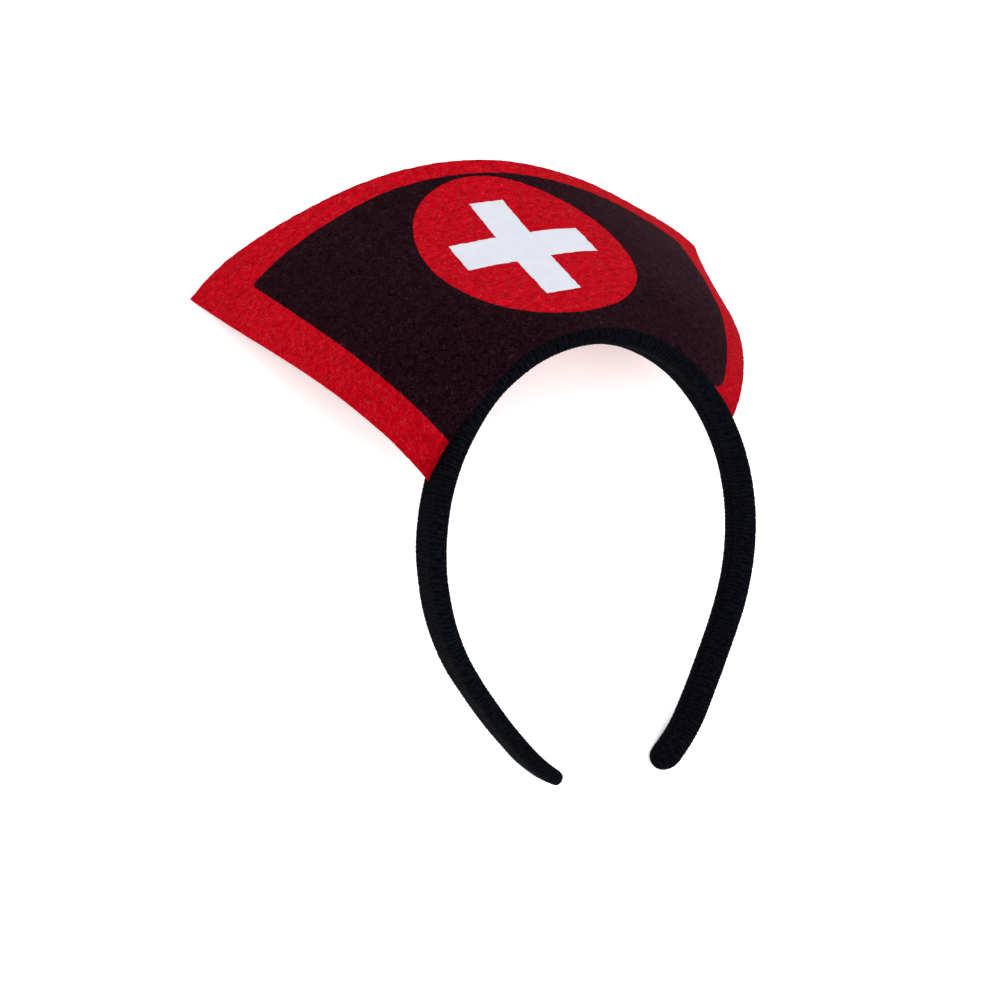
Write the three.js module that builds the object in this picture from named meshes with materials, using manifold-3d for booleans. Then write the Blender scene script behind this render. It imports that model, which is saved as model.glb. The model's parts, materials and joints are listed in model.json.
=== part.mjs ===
// Nurse cap: a red felt cap front with a printed black panel and a white cross, standing on a
// fabric-covered headband. The cap lies on its back, on the band's two tips and the felt's two
// upper corners. Units are millimetres.
//
// Each piece is worked out in the band's own frame: origin in the middle of the band at the
// crown, X across the head, Y towards the back of the head, Z up out of the crown.
import * as THREE from 'three';
import { mergeVertices } from 'three/addons/utils/BufferGeometryUtils.js';
import Module from 'manifold-3d';

// Headband
const BAND_HALF_LENGTH = 181; // crown to tip, along the middle of the band
const BAND_WIDTH = 13.6; // across the band at the crown
const BAND_TIP_WIDTH = 11.2;
const BAND_THICKNESS = 5.2; // core and fabric cover together
const BAND_TIP_ROUND = 5.6; // how far the rounding of each tip reaches along the band
const BAND_TIP_FLATNESS = 1.2; // least width of a section of the tips, in thicknesses

// Felt cap front
const FELT_THICKNESS = 1.6;
const FELT_FOOT_HALF = 68; // half the length of the lower edge, along the band
const FELT_HEIGHT = 86.5; // lower edge to upper edge in the middle, over the bend
const FELT_FOOT_SWEEP = 11; // degrees that the sides turn towards the crown near the middle
const FELT_END_SWEEP = 20.5; // further degrees that the side edges turn towards the crown

// Print on the felt
const SIDE_BORDER_FOOT = 12; // red border beside the panel, along the lower edge
const SIDE_BORDER_TOP = 16.3;
const TOP_BORDER = 7.2; // red border above the panel, in the middle
const TOP_BORDER_GAIN = 15.2; // how much wider it is at the side edges
const DISC_RADIUS = 35.7; // red round left open in the panel
const DISC_RISE = 42.2; // lower edge to the middle of the round
const CROSS_SPAN = 47.3;
const CROSS_ARM = 12.5; // width of an arm
const PRINT_THICKNESS = 0.4;

const CLEARANCE = 0.3; // between pieces that touch

// Arcs of half the band, from the crown: share of the half length, and the turn in degrees.
const BAND_ARCS = [
  { share: 0.25, turn: 48.5 },
  { share: 0.25, turn: 39 },
  { share: 0.2, turn: 28.5 },
  { share: 0.18, turn: 6.5 },
  { share: 0.12, turn: 25 },
];

// Sections of the felt, evenly spaced from the middle to the side edge. foot is where the lower
// edge lies across the band, as a share of half its width, with - towards the front. The leans
// are degrees back from straight out of the band at the lower edge, half way up and at the
// upper edge. height is a share of FELT_HEIGHT.
const FELT_SECTIONS = [
  { foot: -0.86, footLean: 51, midLean: 55, topLean: 45.5, height: 1 },
  { foot: -0.82, footLean: 37, midLean: 56, topLean: 55.5, height: 1.03 },
  { foot: -0.8, footLean: 23.5, midLean: 55, topLean: 61, height: 1.12 },
  { foot: 0.28, footLean: -4, midLean: 53.5, topLean: 47, height: 1.13 },
];

// Mesh fineness
const BAND_STEPS = 46; // along each half of the band
const BAND_EDGE_STEPS = 5; // around each rounded edge of the band
const TIP_STEPS = 5;
const PANEL_COLUMNS = 40; // across the black panel
const BORDER_COLUMNS = 4; // across each side border
const PANEL_ROWS = 15; // up the panel
const BORDER_ROWS = 2; // up the top border
const DISC_SIDES = 72;
const DISC_RINGS = 8;
const CROSS_RINGS = 6;
const CROSS_EDGE_STEPS = 3;
const BEND_STEPS = 16; // pieces that the bend of the felt is added up from
const MERGE_DISTANCE = 1e-5;
const REST_STEPS = 50; // halvings that find how the cap lies
const STEEPEST_REST = 60; // degrees, well past any tilt that the cap lies at

const wasm = await Module();
wasm.setup();

const BACK = new THREE.Vector3(0, 1, 0);
const radians = THREE.MathUtils.degToRad;
const lerp = THREE.MathUtils.lerp;

// Headband

// Middle line of the band at a signed distance from the crown: point, outward and tangent.
function bandAt(distance) {
  const side = Math.sign(distance) || 1;
  let left = Math.abs(distance);
  let x = 0;
  let z = 0;
  let angle = 0;
  for (const [index, arc] of BAND_ARCS.entries()) {
    const length = arc.share * BAND_HALF_LENGTH;
    const radius = length / radians(arc.turn);
    const isLast = index === BAND_ARCS.length - 1;
    const run = isLast ? left : Math.min(left, length);
    const end = angle + run / radius;
    x += radius * (Math.sin(end) - Math.sin(angle));
    z += radius * (Math.cos(end) - Math.cos(angle));
    angle = end;
    left -= run;
    if (left <= 0) {
      break;
    }
  }
  return {
    point: new THREE.Vector3(side * x, 0, z),
    outward: new THREE.Vector3(side * Math.sin(angle), 0, Math.cos(angle)),
    tangent: new THREE.Vector3(Math.cos(angle), 0, -side * Math.sin(angle)),
  };
}

const bandWidthAt = (distance) =>
  lerp(BAND_WIDTH, BAND_TIP_WIDTH, Math.abs(distance) / BAND_HALF_LENGTH);

// Height of the band's rounded-edge section over its middle, at a place across the band.
function bandHeightAt(across, width, thickness) {
  const over = Math.abs(across) - (width - thickness) / 2;
  const half = thickness / 2;
  return over <= 0 ? half : Math.sqrt(Math.max(half * half - over * over, 0));
}

// One ring of the band: two flat faces joined by half-round edges.
function bandRing(distance, width, thickness) {
  const { point, outward } = bandAt(distance);
  const half = thickness / 2;
  const flat = Math.max(width / 2 - half, 0);
  const ring = [];
  for (const side of [1, -1]) {
    for (let step = 0; step <= BAND_EDGE_STEPS; step += 1) {
      const turn = (Math.PI * step) / BAND_EDGE_STEPS;
      const across = side * (flat + half * Math.sin(turn));
      const height = side * half * Math.cos(turn);
      ring.push(point.clone().addScaledVector(BACK, across).addScaledVector(outward, height));
    }
  }
  return ring;
}

// The band as rings from tip to tip, grown all round by margin.
function bandGeometry(margin) {
  const rounded = BAND_TIP_ROUND + margin;
  const end = BAND_HALF_LENGTH + margin;
  const stations = [];
  for (let step = 0; step <= TIP_STEPS; step += 1) {
    const turn = (Math.PI / 2) * (1 - (step + 0.5) / (TIP_STEPS + 0.5));
    stations.push({ distance: -end + rounded * (1 - Math.sin(turn)), close: Math.cos(turn) });
  }
  const straight = end - rounded;
  const half = [];
  for (let step = 0; step < BAND_STEPS; step += 1) {
    half.push({ distance: (straight * (step + 0.5)) / BAND_STEPS, close: 1 });
  }
  const left = half.map((station) => ({ ...station, distance: -station.distance })).reverse();
  const tip = stations.map((station) => ({ ...station, distance: -station.distance })).reverse();
  const rings = [...stations, ...left, ...half, ...tip].map(({ distance, close }) => {
    const width = (bandWidthAt(distance) + 2 * margin) * close;
    const thickness = (BAND_THICKNESS + 2 * margin) * Math.sqrt(close);
    return bandRing(distance, Math.max(width, BAND_TIP_FLATNESS * thickness), thickness);
  });
  return tubeGeometry(rings, bandAt(-end).point, bandAt(end).point);
}

// A closed skin over a row of rings, drawn in to a point at each end.
function tubeGeometry(rings, start, end) {
  const count = rings[0].length;
  const points = [start, ...rings.flat(), end];
  const faces = [];
  const at = (ring, place) => 1 + ring * count + (place % count);
  for (let place = 0; place < count; place += 1) {
    faces.push(0, at(0, place), at(0, place + 1));
    for (let ring = 0; ring + 1 < rings.length; ring += 1) {
      faces.push(at(ring, place), at(ring + 1, place), at(ring + 1, place + 1));
      faces.push(at(ring, place), at(ring + 1, place + 1), at(ring, place + 1));
    }
    faces.push(points.length - 1, at(rings.length - 1, place + 1), at(rings.length - 1, place));
  }
  return meshGeometry(points, faces);
}

function meshGeometry(points, faces) {
  const geometry = new THREE.BufferGeometry();
  const flat = points.flatMap((point) => point.toArray());
  geometry.setAttribute('position', new THREE.Float32BufferAttribute(flat, 3));
  geometry.setIndex(faces);
  return geometry;
}

// Felt cap front

// A column of FELT_SECTIONS at a share along the half foot, as one smooth symmetric curve.
function sectionValue(column, share) {
  const rows = FELT_SECTIONS.map((row) => row[column]);
  const last = rows.length - 1;
  const place = Math.min(Math.abs(share), 1) * last;
  const index = Math.min(Math.floor(place), last - 1);
  const t = place - index;
  const before = index === 0 ? rows[1] : rows[index - 1];
  const after = index === last - 1 ? 2 * rows[last] - rows[last - 1] : rows[index + 2];
  const [a, b] = [rows[index], rows[index + 1]];
  const slope = b - before;
  const bend = 2 * before - 5 * a + 4 * b - after;
  const twist = 3 * a - before - 3 * b + after;
  return a + 0.5 * t * (slope + t * (bend + t * twist));
}

// Point of the felt's front face: share runs from -1 to 1 along the foot, rise from 0 to 1 up.
function feltPoint(share, rise) {
  const distance = share * FELT_FOOT_HALF;
  const { point, outward, tangent } = bandAt(distance);
  const across = (sectionValue('foot', share) * bandWidthAt(distance)) / 2;
  const seat = bandHeightAt(across, bandWidthAt(distance), BAND_THICKNESS) + CLEARANCE;
  const sweep = radians(-FELT_FOOT_SWEEP * share - FELT_END_SWEEP * share ** 3);
  const out = outward.clone().multiplyScalar(Math.cos(sweep));
  out.addScaledVector(tangent, Math.sin(sweep));
  const foot = radians(sectionValue('footLean', share));
  const mid = radians(sectionValue('midLean', share));
  const top = radians(sectionValue('topLean', share));
  const step = (rise * FELT_HEIGHT * sectionValue('height', share)) / BEND_STEPS;
  const place = point.clone().addScaledVector(BACK, across).addScaledVector(outward, seat);
  for (let index = 0; index < BEND_STEPS; index += 1) {
    const t = (rise * (index + 0.5)) / BEND_STEPS;
    const lean = foot * (1 - t) * (1 - 2 * t) + mid * 4 * t * (1 - t) + top * t * (2 * t - 1);
    place.addScaledVector(out, step * Math.cos(lean)).addScaledVector(BACK, step * Math.sin(lean));
  }
  return place;
}

// The same point moved off the front face by an amount, square to the felt.
function feltPointOff(share, rise, off) {
  const probe = 1e-3;
  const along = feltPoint(share + probe, rise).sub(feltPoint(share - probe, rise));
  const up = feltPoint(share, rise + probe).sub(feltPoint(share, Math.max(rise - probe, 0)));
  return feltPoint(share, rise).addScaledVector(along.cross(up).normalize(), off);
}

// Share and rise of a grid place, with the panel's outline on grid lines.
function gridPlace(column, row) {
  const topRow = PANEL_ROWS + BORDER_ROWS;
  const half = PANEL_COLUMNS / 2;
  const step = Math.abs(column);
  const sideAt = (rise) => 1 - lerp(SIDE_BORDER_FOOT, SIDE_BORDER_TOP, rise) / FELT_FOOT_HALF;
  const shareAt = (rise) => {
    const side = sideAt(rise);
    return step <= half ? (side * step) / half : lerp(side, 1, (step - half) / BORDER_COLUMNS);
  };
  const guess = shareAt(row / topRow);
  const border = TOP_BORDER + TOP_BORDER_GAIN * guess * guess;
  const panelTop = 1 - border / (FELT_HEIGHT * sectionValue('height', guess));
  const rise =
    row <= PANEL_ROWS
      ? (panelTop * row) / PANEL_ROWS
      : lerp(panelTop, 1, (row - PANEL_ROWS) / BORDER_ROWS);
  return { share: Math.sign(column) * shareAt(rise), rise };
}

// A closed layer over the grid, between two distances off the front face.
function feltLayer(lastColumn, lastRow, low, high) {
  const columns = 2 * lastColumn + 1;
  const rows = lastRow + 1;
  const points = [];
  for (const off of [low, high]) {
    for (let row = 0; row < rows; row += 1) {
      for (let column = -lastColumn; column <= lastColumn; column += 1) {
        const { share, rise } = gridPlace(column, row);
        points.push(feltPointOff(share, rise, off));
      }
    }
  }
  const at = (side, row, column) => (side * rows + row) * columns + column;
  const faces = [];
  const quad = (a, b, c, d) => faces.push(a, b, c, a, c, d);
  for (let row = 0; row < rows - 1; row += 1) {
    for (let column = 0; column < columns - 1; column += 1) {
      const corners = [
        [row, column],
        [row, column + 1],
        [row + 1, column + 1],
        [row + 1, column],
      ];
      quad(...corners.map(([r, c]) => at(1, r, c)));
      quad(...corners.map(([r, c]) => at(0, r, c)).reverse());
    }
    quad(at(0, row, 0), at(1, row, 0), at(1, row + 1, 0), at(0, row + 1, 0));
    const end = columns - 1;
    quad(at(0, row + 1, end), at(1, row + 1, end), at(1, row, end), at(0, row, end));
  }
  for (let column = 0; column < columns - 1; column += 1) {
    const end = rows - 1;
    quad(at(0, 0, column + 1), at(1, 0, column + 1), at(1, 0, column), at(0, 0, column));
    quad(at(0, end, column), at(1, end, column), at(1, end, column + 1), at(0, end, column + 1));
  }
  return meshGeometry(points, faces);
}

// Print

// Place on the felt of a point of the flat artwork: a across, b up from the round's middle.
const artwork = (() => {
  const middle = DISC_RISE / FELT_HEIGHT;
  const probe = 0.05;
  const stretchAt = (rise) =>
    feltPoint(probe, rise).distanceTo(feltPoint(-probe, rise)) / (2 * probe);
  const here = feltPoint(0, middle);
  const up = feltPoint(0, middle + probe).sub(here).normalize();
  const chord = feltPoint(probe, middle).add(feltPoint(-probe, middle)).addScaledVector(here, -2);
  const bend = chord.dot(up) / (probe * stretchAt(middle)) ** 2;
  return (a, b, off) => {
    const rise = THREE.MathUtils.clamp(middle + (b - (bend * a * a) / 2) / FELT_HEIGHT, 0, 1);
    return feltPointOff(a / stretchAt(rise), rise, off);
  };
})();

// A closed patch of the artwork with a star-shaped outline, between two distances off the felt.
function artworkPatch(outline, rings, low, high) {
  const count = outline.length;
  const points = [];
  const faces = [];
  for (const off of [low, high]) {
    points.push(artwork(0, 0, off));
    for (let ring = 1; ring <= rings; ring += 1) {
      for (const [a, b] of outline) {
        points.push(artwork((a * ring) / rings, (b * ring) / rings, off));
      }
    }
  }
  const layer = 1 + rings * count;
  const at = (side, ring, place) =>
    side * layer + (ring === 0 ? 0 : 1 + (ring - 1) * count + (place % count));
  for (let place = 0; place < count; place += 1) {
    faces.push(at(1, 0, 0), at(1, 1, place), at(1, 1, place + 1));
    faces.push(at(0, 0, 0), at(0, 1, place + 1), at(0, 1, place));
    for (let ring = 1; ring < rings; ring += 1) {
      const front = [at(1, ring, place), at(1, ring + 1, place)];
      const frontNext = [at(1, ring + 1, place + 1), at(1, ring, place + 1)];
      faces.push(front[0], front[1], frontNext[0], front[0], frontNext[0], frontNext[1]);
      const back = [at(0, ring, place), at(0, ring + 1, place)];
      const backNext = [at(0, ring + 1, place + 1), at(0, ring, place + 1)];
      faces.push(back[0], backNext[0], back[1], back[0], backNext[1], backNext[0]);
    }
    const [a, b] = [at(0, rings, place), at(0, rings, place + 1)];
    const [c, d] = [at(1, rings, place + 1), at(1, rings, place)];
    faces.push(a, b, c, a, c, d);
  }
  return meshGeometry(points, faces);
}

function discOutline() {
  return Array.from({ length: DISC_SIDES }, (_, index) => {
    const turn = (2 * Math.PI * index) / DISC_SIDES;
    return [DISC_RADIUS * Math.cos(turn), DISC_RADIUS * Math.sin(turn)];
  });
}

// Upright cross with four equal arms, counter-clockwise, each straight edge in a few steps.
function crossOutline() {
  const long = CROSS_SPAN / 2;
  const short = CROSS_ARM / 2;
  const corners = [];
  for (let quarter = 0; quarter < 4; quarter += 1) {
    const [c, s] = [Math.cos((quarter * Math.PI) / 2), Math.sin((quarter * Math.PI) / 2)];
    for (const [a, b] of [[long, -short], [long, short], [short, short]]) {
      corners.push([a * c - b * s, a * s + b * c]);
    }
  }
  return corners.flatMap(([a, b], index) => {
    const [nextA, nextB] = corners[(index + 1) % corners.length];
    return Array.from({ length: CROSS_EDGE_STEPS }, (_, step) => {
      const t = step / CROSS_EDGE_STEPS;
      return [lerp(a, nextA, t), lerp(b, nextB, t)];
    });
  });
}

// Cuts

function toSolid(geometry) {
  const bare = new THREE.BufferGeometry();
  bare.setAttribute('position', geometry.getAttribute('position'));
  bare.setIndex(geometry.getIndex());
  const merged = mergeVertices(bare, MERGE_DISTANCE);
  const vertProperties = new Float32Array(merged.getAttribute('position').array);
  const triVerts = new Uint32Array(merged.getIndex().array);
  return new wasm.Manifold(new wasm.Mesh({ numProp: 3, vertProperties, triVerts }));
}

function toGeometry(solid) {
  const { vertProperties, triVerts, numProp } = solid.getMesh();
  const geometry = new THREE.BufferGeometry();
  const position = new THREE.BufferAttribute(vertProperties, numProp);
  geometry.setAttribute('position', position);
  geometry.setIndex(new THREE.BufferAttribute(triVerts, 1));
  return geometry;
}

// The main body of a cut solid, without the crumbs that the cut may leave.
function largest(solid) {
  const parts = solid.decompose();
  return parts.reduce((best, part) => (part.volume() > best.volume() ? part : best));
}

// Pieces

function piece(name, geometry, color, roughness) {
  geometry.computeVertexNormals();
  const material = new THREE.MeshStandardMaterial({ color, roughness, metalness: 0 });
  const mesh = new THREE.Mesh(geometry, material);
  mesh.name = name;
  return mesh;
}

function headband() {
  return piece('headband', bandGeometry(0), 0x0d0d12, 0.85);
}

// The felt stands on the band, its lower edge trimmed to the band's face.
function feltFront() {
  const columns = PANEL_COLUMNS / 2 + BORDER_COLUMNS;
  const sheet = feltLayer(columns, PANEL_ROWS + BORDER_ROWS, -FELT_THICKNESS, 0);
  const trimmed = toSolid(sheet).subtract(toSolid(bandGeometry(CLEARANCE)));
  return piece('felt_front', toGeometry(largest(trimmed)), 0xc30a1c, 0.95);
}

function printedPanel() {
  const high = CLEARANCE + PRINT_THICKNESS;
  const panel = feltLayer(PANEL_COLUMNS / 2, PANEL_ROWS, CLEARANCE, high);
  const round = artworkPatch(discOutline(), DISC_RINGS, -CLEARANCE, high + CLEARANCE);
  const open = toSolid(panel).subtract(toSolid(round));
  return piece('printed_panel', toGeometry(open), 0x231018, 0.95);
}

function printedCross() {
  const high = CLEARANCE + PRINT_THICKNESS;
  const cross = artworkPatch(crossOutline(), CROSS_RINGS, CLEARANCE, high);
  return piece('printed_cross', cross, 0xe4e6f3, 0.8);
}

// Rest

// Height above the table of a point of the band's frame, for a tilt of the band's plane.
const heightAt = (y, z, tilt) => z * Math.sin(tilt) - y * Math.cos(tilt);

function lowest(mesh, tilt) {
  const position = mesh.geometry.getAttribute('position');
  let low = Infinity;
  for (let index = 0; index < position.count; index += 1) {
    low = Math.min(low, heightAt(position.getY(index), position.getZ(index), tilt));
  }
  return low;
}

// The tilt at which the band's tips and the felt's corners are equally low.
function restTilt(band, felt) {
  let low = 0;
  let high = radians(STEEPEST_REST);
  for (let step = 0; step < REST_STEPS; step += 1) {
    const tilt = (low + high) / 2;
    if (lowest(band, tilt) > lowest(felt, tilt)) {
      low = tilt;
    } else {
      high = tilt;
    }
  }
  return (low + high) / 2;
}

function restingCap() {
  const band = headband();
  const felt = feltFront();
  const lying = new THREE.Group();
  lying.add(band, felt, printedPanel(), printedCross());
  lying.rotation.x = restTilt(band, felt) - Math.PI / 2;
  const cap = new THREE.Group();
  cap.add(lying);
  cap.updateMatrixWorld(true);
  const box = new THREE.Box3().setFromObject(cap, true);
  lying.position.set(0, -(box.min.y + box.max.y) / 2, -box.min.z);
  return cap;
}

export default restingCap();
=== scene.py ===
"""Nurse cap: an arched red felt front with a black printed panel and a white cross, glued by its
lower edge to a headband covered in ribbed black fabric. The cap lies on its back on a pale floor.
"""
import json
import math

import bpy
import numpy as np
from mathutils import Matrix


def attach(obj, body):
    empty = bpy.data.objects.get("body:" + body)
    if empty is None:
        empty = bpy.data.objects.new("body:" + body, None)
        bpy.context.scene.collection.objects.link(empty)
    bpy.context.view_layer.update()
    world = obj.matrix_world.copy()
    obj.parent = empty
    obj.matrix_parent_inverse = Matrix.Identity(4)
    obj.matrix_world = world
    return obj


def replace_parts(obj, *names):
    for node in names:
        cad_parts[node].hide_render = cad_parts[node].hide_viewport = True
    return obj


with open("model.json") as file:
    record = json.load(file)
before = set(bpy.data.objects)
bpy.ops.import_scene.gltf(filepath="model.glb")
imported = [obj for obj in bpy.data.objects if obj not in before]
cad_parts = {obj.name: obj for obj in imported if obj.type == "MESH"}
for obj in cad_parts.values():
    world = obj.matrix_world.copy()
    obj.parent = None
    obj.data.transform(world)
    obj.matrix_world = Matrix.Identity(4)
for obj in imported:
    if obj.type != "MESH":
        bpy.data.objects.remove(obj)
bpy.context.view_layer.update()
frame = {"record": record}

MM = 0.001

# Headband
BAND_HALF_LENGTH = 181 * MM
BAND_WIDTH = 13.6 * MM
BAND_TIP_WIDTH = 11.2 * MM
BAND_THICKNESS = 5.2 * MM
BAND_TIP_ROUND = 5.6 * MM
BAND_TIP_FLATNESS = 1.2  # least width of a closing tip, as a share of its thickness
# Share of the half length and the turn in degrees, from the crown.
BAND_ARCS = [(0.25, 48.5), (0.25, 39), (0.2, 28.5), (0.18, 6.5), (0.12, 25)]

# The two arms of this soft band differ a little towards their tips.
ARM_BEND_START = 0.62  # share of the half length
LEFT_SHORTER = 1.5 * MM
LEFT_ARM_IN = 4.7 * MM
LEFT_ARM_DOWN = 1.7 * MM
LEFT_TIP_OUT = 1.8 * MM  # the last stretch of the left arm turns in less
LEFT_TIP_REACH = 25 * MM
LEFT_TIP_THICKNESS = 4.5 * MM
RIGHT_LONGER = 0.8 * MM
RIGHT_ARM_OUT = 0.6 * MM
RIGHT_TIP_WIDER = 0.9 * MM
BAND_ENDS = (LEFT_SHORTER - BAND_HALF_LENGTH, RIGHT_LONGER + BAND_HALF_LENGTH)

# Fabric of the headband
FABRIC_FULLNESS = 0.16 * MM  # how far the ribs' crests stand over the band's plain shape
RIB_PITCH = 1.35 * MM
RIB_DEPTH = 0.15 * MM
RINGS_PER_RIB = 6
TIP_RINGS = 14
LAP_STEP = 0.16 * MM  # height of the fabric's lap along the inner face
LAP_PLACE = 0.9 * MM  # how far the lap lies off the middle of the inner face
LAP_EDGE = 0.06 * MM
LAP_FADE = 4 * MM
NOTCH_DEPTH = 0.1 * MM  # beside the lap
NOTCH_WIDTH = 0.2 * MM
GATHERS = 9  # round each tip
GATHER_DEPTH = 0.06 * MM
GATHER_REACH = 6 * MM

# Felt
FELT_THICKNESS = 1.6 * MM
FELT_FOOT_HALF = 68 * MM
FELT_HEIGHT = 86.5 * MM
FELT_FOOT_SWEEP = 11  # degrees that the felt turns up from the band's outward direction
FELT_END_SWEEP = 20.5  # and how many more it turns close to its side edges
FAN_RADIUS = 145 * MM  # at the foot, with the felt laid out as a fan for its textures
FAN_HALF_ANGLE = 0.469
# Middle to side edge: place across the band, leans at foot, half way and top, share of the height.
FOOT = [-0.86, -0.82, -0.8, 0.28]
FOOT_LEAN = [51, 37, 23.5, -4]
MID_LEAN = [55, 56, 55, 53.5]
TOP_LEAN = [45.5, 55.5, 61, 47]
HEIGHT = [1, 1.03, 1.12, 1.13]
BEND_STEPS = 16
CORNER_REACH = 1.1 * MM  # how far the sharp upper corners run out past the smooth upper edge
RIGHT_TRIM = 0.8 * MM  # the upper edge runs in straight to the right corner
RIGHT_TRIM_PLACE = 0.91  # share along
RIGHT_TRIM_LENGTH = 0.07
LEFT_CORNER_SAG = 0.25 * MM  # the felt's upper corners droop until they touch the floor
RIGHT_CORNER_SAG = 0.45 * MM
# Shallow dents and swells of the soft sheet: share along, rise, height.
SWELLS = [(-0.4, 0.5, -2.2 * MM), (0.6, 0.55, -0.9 * MM), (1, 1, 0.5 * MM),
          (1, 0.45, -0.55 * MM), (1, 0.2, 0.5 * MM)]
SWELL_LENGTH = 0.36
SWELL_REACH = 0.3
GLUE = 0.06 * MM  # between the felt's lower edge and the band
EDGE_ROUND = 0.3 * MM
EDGE_INSET = 3 * EDGE_ROUND  # where the felt's flat faces end

# Print
SIDE_BORDER_FOOT = 11.9 * MM
SIDE_BORDER_TOP = 15.8 * MM
TOP_BORDER = 6.5 * MM
TOP_BORDER_GAIN = 16.4 * MM  # how much wider it would get from the middle to the side edge
# The printed edge runs straighter into the panel's upper left corner.
PANEL_CORNER = 0.765  # share along
LEFT_TOP_EASE = 1.6 * MM
LEFT_TOP_POINT = 1.9 * MM
RIGHT_FOOT_ROUND = 8 * MM  # the panel's lower right corner, where the felt tucks under
DISC_RADIUS = 35.3 * MM
DISC_RISE = 42.2 * MM
DISC_OFF = (1.2 * MM, 1.2 * MM)  # how far the printed round and cross sit right and up
CROSS_SPAN = 47.3 * MM
CROSS_ARM = 12.5 * MM
CROSS_TURN = math.radians(2.2)
CROSS_OFF = (-1.1 * MM, -1.1 * MM)  # from the middle of the round
# Heights of the ink's under side and upper sides over the felt.
PRINT_LOW = 0.03 * MM
PRINT_HIGH = 0.13 * MM
CROSS_HIGH = 0.2 * MM
INK_SPREAD = 0.035 * MM
INK_RUN = 54 * MM  # half length of the ink on the felt's lower cut edge

# Unevenness of surfaces and edges: height, length of the bumps, seed.
SHEET_BUMPS = [(0.12 * MM, 46 * MM, 3)]
FELT_LUMPS = [(0.035 * MM, 4.5 * MM, 5), (0.02 * MM, 2.6 * MM, 7)]
CUT_EDGE_BUMPS = [(0.045 * MM, 5 * MM, 11)]
CROSS_BUMPS_A = [(0.055 * MM, 2.4 * MM, 41), (0.044 * MM, 7 * MM, 42)]
CROSS_BUMPS_B = [(0.055 * MM, 2.4 * MM, 43), (0.044 * MM, 7 * MM, 44)]
BAND_BUMPS = [(0.04 * MM, 18 * MM, 54)]
LAP_BUMPS = [(0.22 * MM, 26 * MM, 55)]
RIB_WANDER = [(0.16, 11 * MM, 51), (0.13, 3 * MM, 52)]  # height as a share of the pitch
RIB_FIRMNESS = [(0.25, 2.6 * MM, 53)]  # height as a share of the depth

FLOOR_CLEARANCE = 0.01 * MM  # soft cloth and fibres flatten where they touch the floor

# Name, place, aim, size across and power in watts.
LIGHTS = [
    ("key", (-0.5, -0.35, 1.1), (0, 0.02, 0.03), 0.9, 8.8),
    ("fill", (0.7, 0.3, 0.9), (0, 0.02, 0.03), 0.9, 3.7),
    ("low", (0.05, -0.95, 0.3), (0, 0.05, 0), 0.7, 3),
]
WORLD_STRENGTH = 1.05
FLOOR_HALF = 3.0

# Camera, in the band's own frame: seen from the wearer's front right, a little above.
CAMERA_AZIMUTH = math.radians(30.88)
CAMERA_ELEVATION = math.radians(10.315)
CAMERA_ROLL = math.radians(-4.204)
CAMERA_DISTANCE = 524.96 * MM
CAMERA_AIM = np.array([-32.19, 0, -44.87]) * MM
CAMERA_LENS = 64.47
CAMERA_SENSOR = 36

X_AXIS, Y_AXIS = np.eye(3)[:2]


# Frame of the band

def band_frame():
    """Origin and axes of the band's own frame, from the seat at the crown."""
    seat = next(m for m in frame["record"]["mounts"] if m["name"] == "crown_seat")
    up = -np.array(seat["axis"])
    back = np.cross(up, X_AXIS)
    axes = np.stack([X_AXIS, back, up])
    return np.array(seat["pos_m"]) + up * BAND_THICKNESS / 2, axes


ORIGIN, AXES = band_frame()


def to_row(points):
    """Points of the band's frame, in the frame of the whole part."""
    return points @ AXES + ORIGIN


def waves(u, v, length, seed, count=26):
    """Smooth noise of about unit size over a plane, with bumps about this long."""
    rng = np.random.default_rng(seed)
    turn = rng.uniform(0, 2 * np.pi, count)
    rate = 2 * np.pi / length * rng.uniform(0.55, 1.5, count)
    start = rng.uniform(0, 2 * np.pi, count)
    total = np.zeros(np.broadcast(u, v).shape)
    for t, r, s in zip(turn, rate, start):
        total += np.cos(r * (u * math.cos(t) + v * math.sin(t)) + s)
    return total * math.sqrt(2 / count)


def bumps(u, v, rows):
    """Smooth uneven heights over a plane, from rows of height, length and seed."""
    return sum(height * waves(u, v, length, seed) for height, length, seed in rows)


def unit(vectors):
    return vectors / np.linalg.norm(vectors, axis=-1, keepdims=True)


# Shape of the headband

def arc_table():
    rows = []
    distance = x = z = angle = 0.0
    for share, turn in BAND_ARCS:
        length = share * BAND_HALF_LENGTH
        radius = length / math.radians(turn)
        rows.append((distance, x, z, angle, radius))
        end = angle + math.radians(turn)
        x += radius * (math.sin(end) - math.sin(angle))
        z += radius * (math.cos(end) - math.cos(angle))
        distance += length
        angle = end
    return np.array(rows)


ARCS = arc_table()


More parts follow.
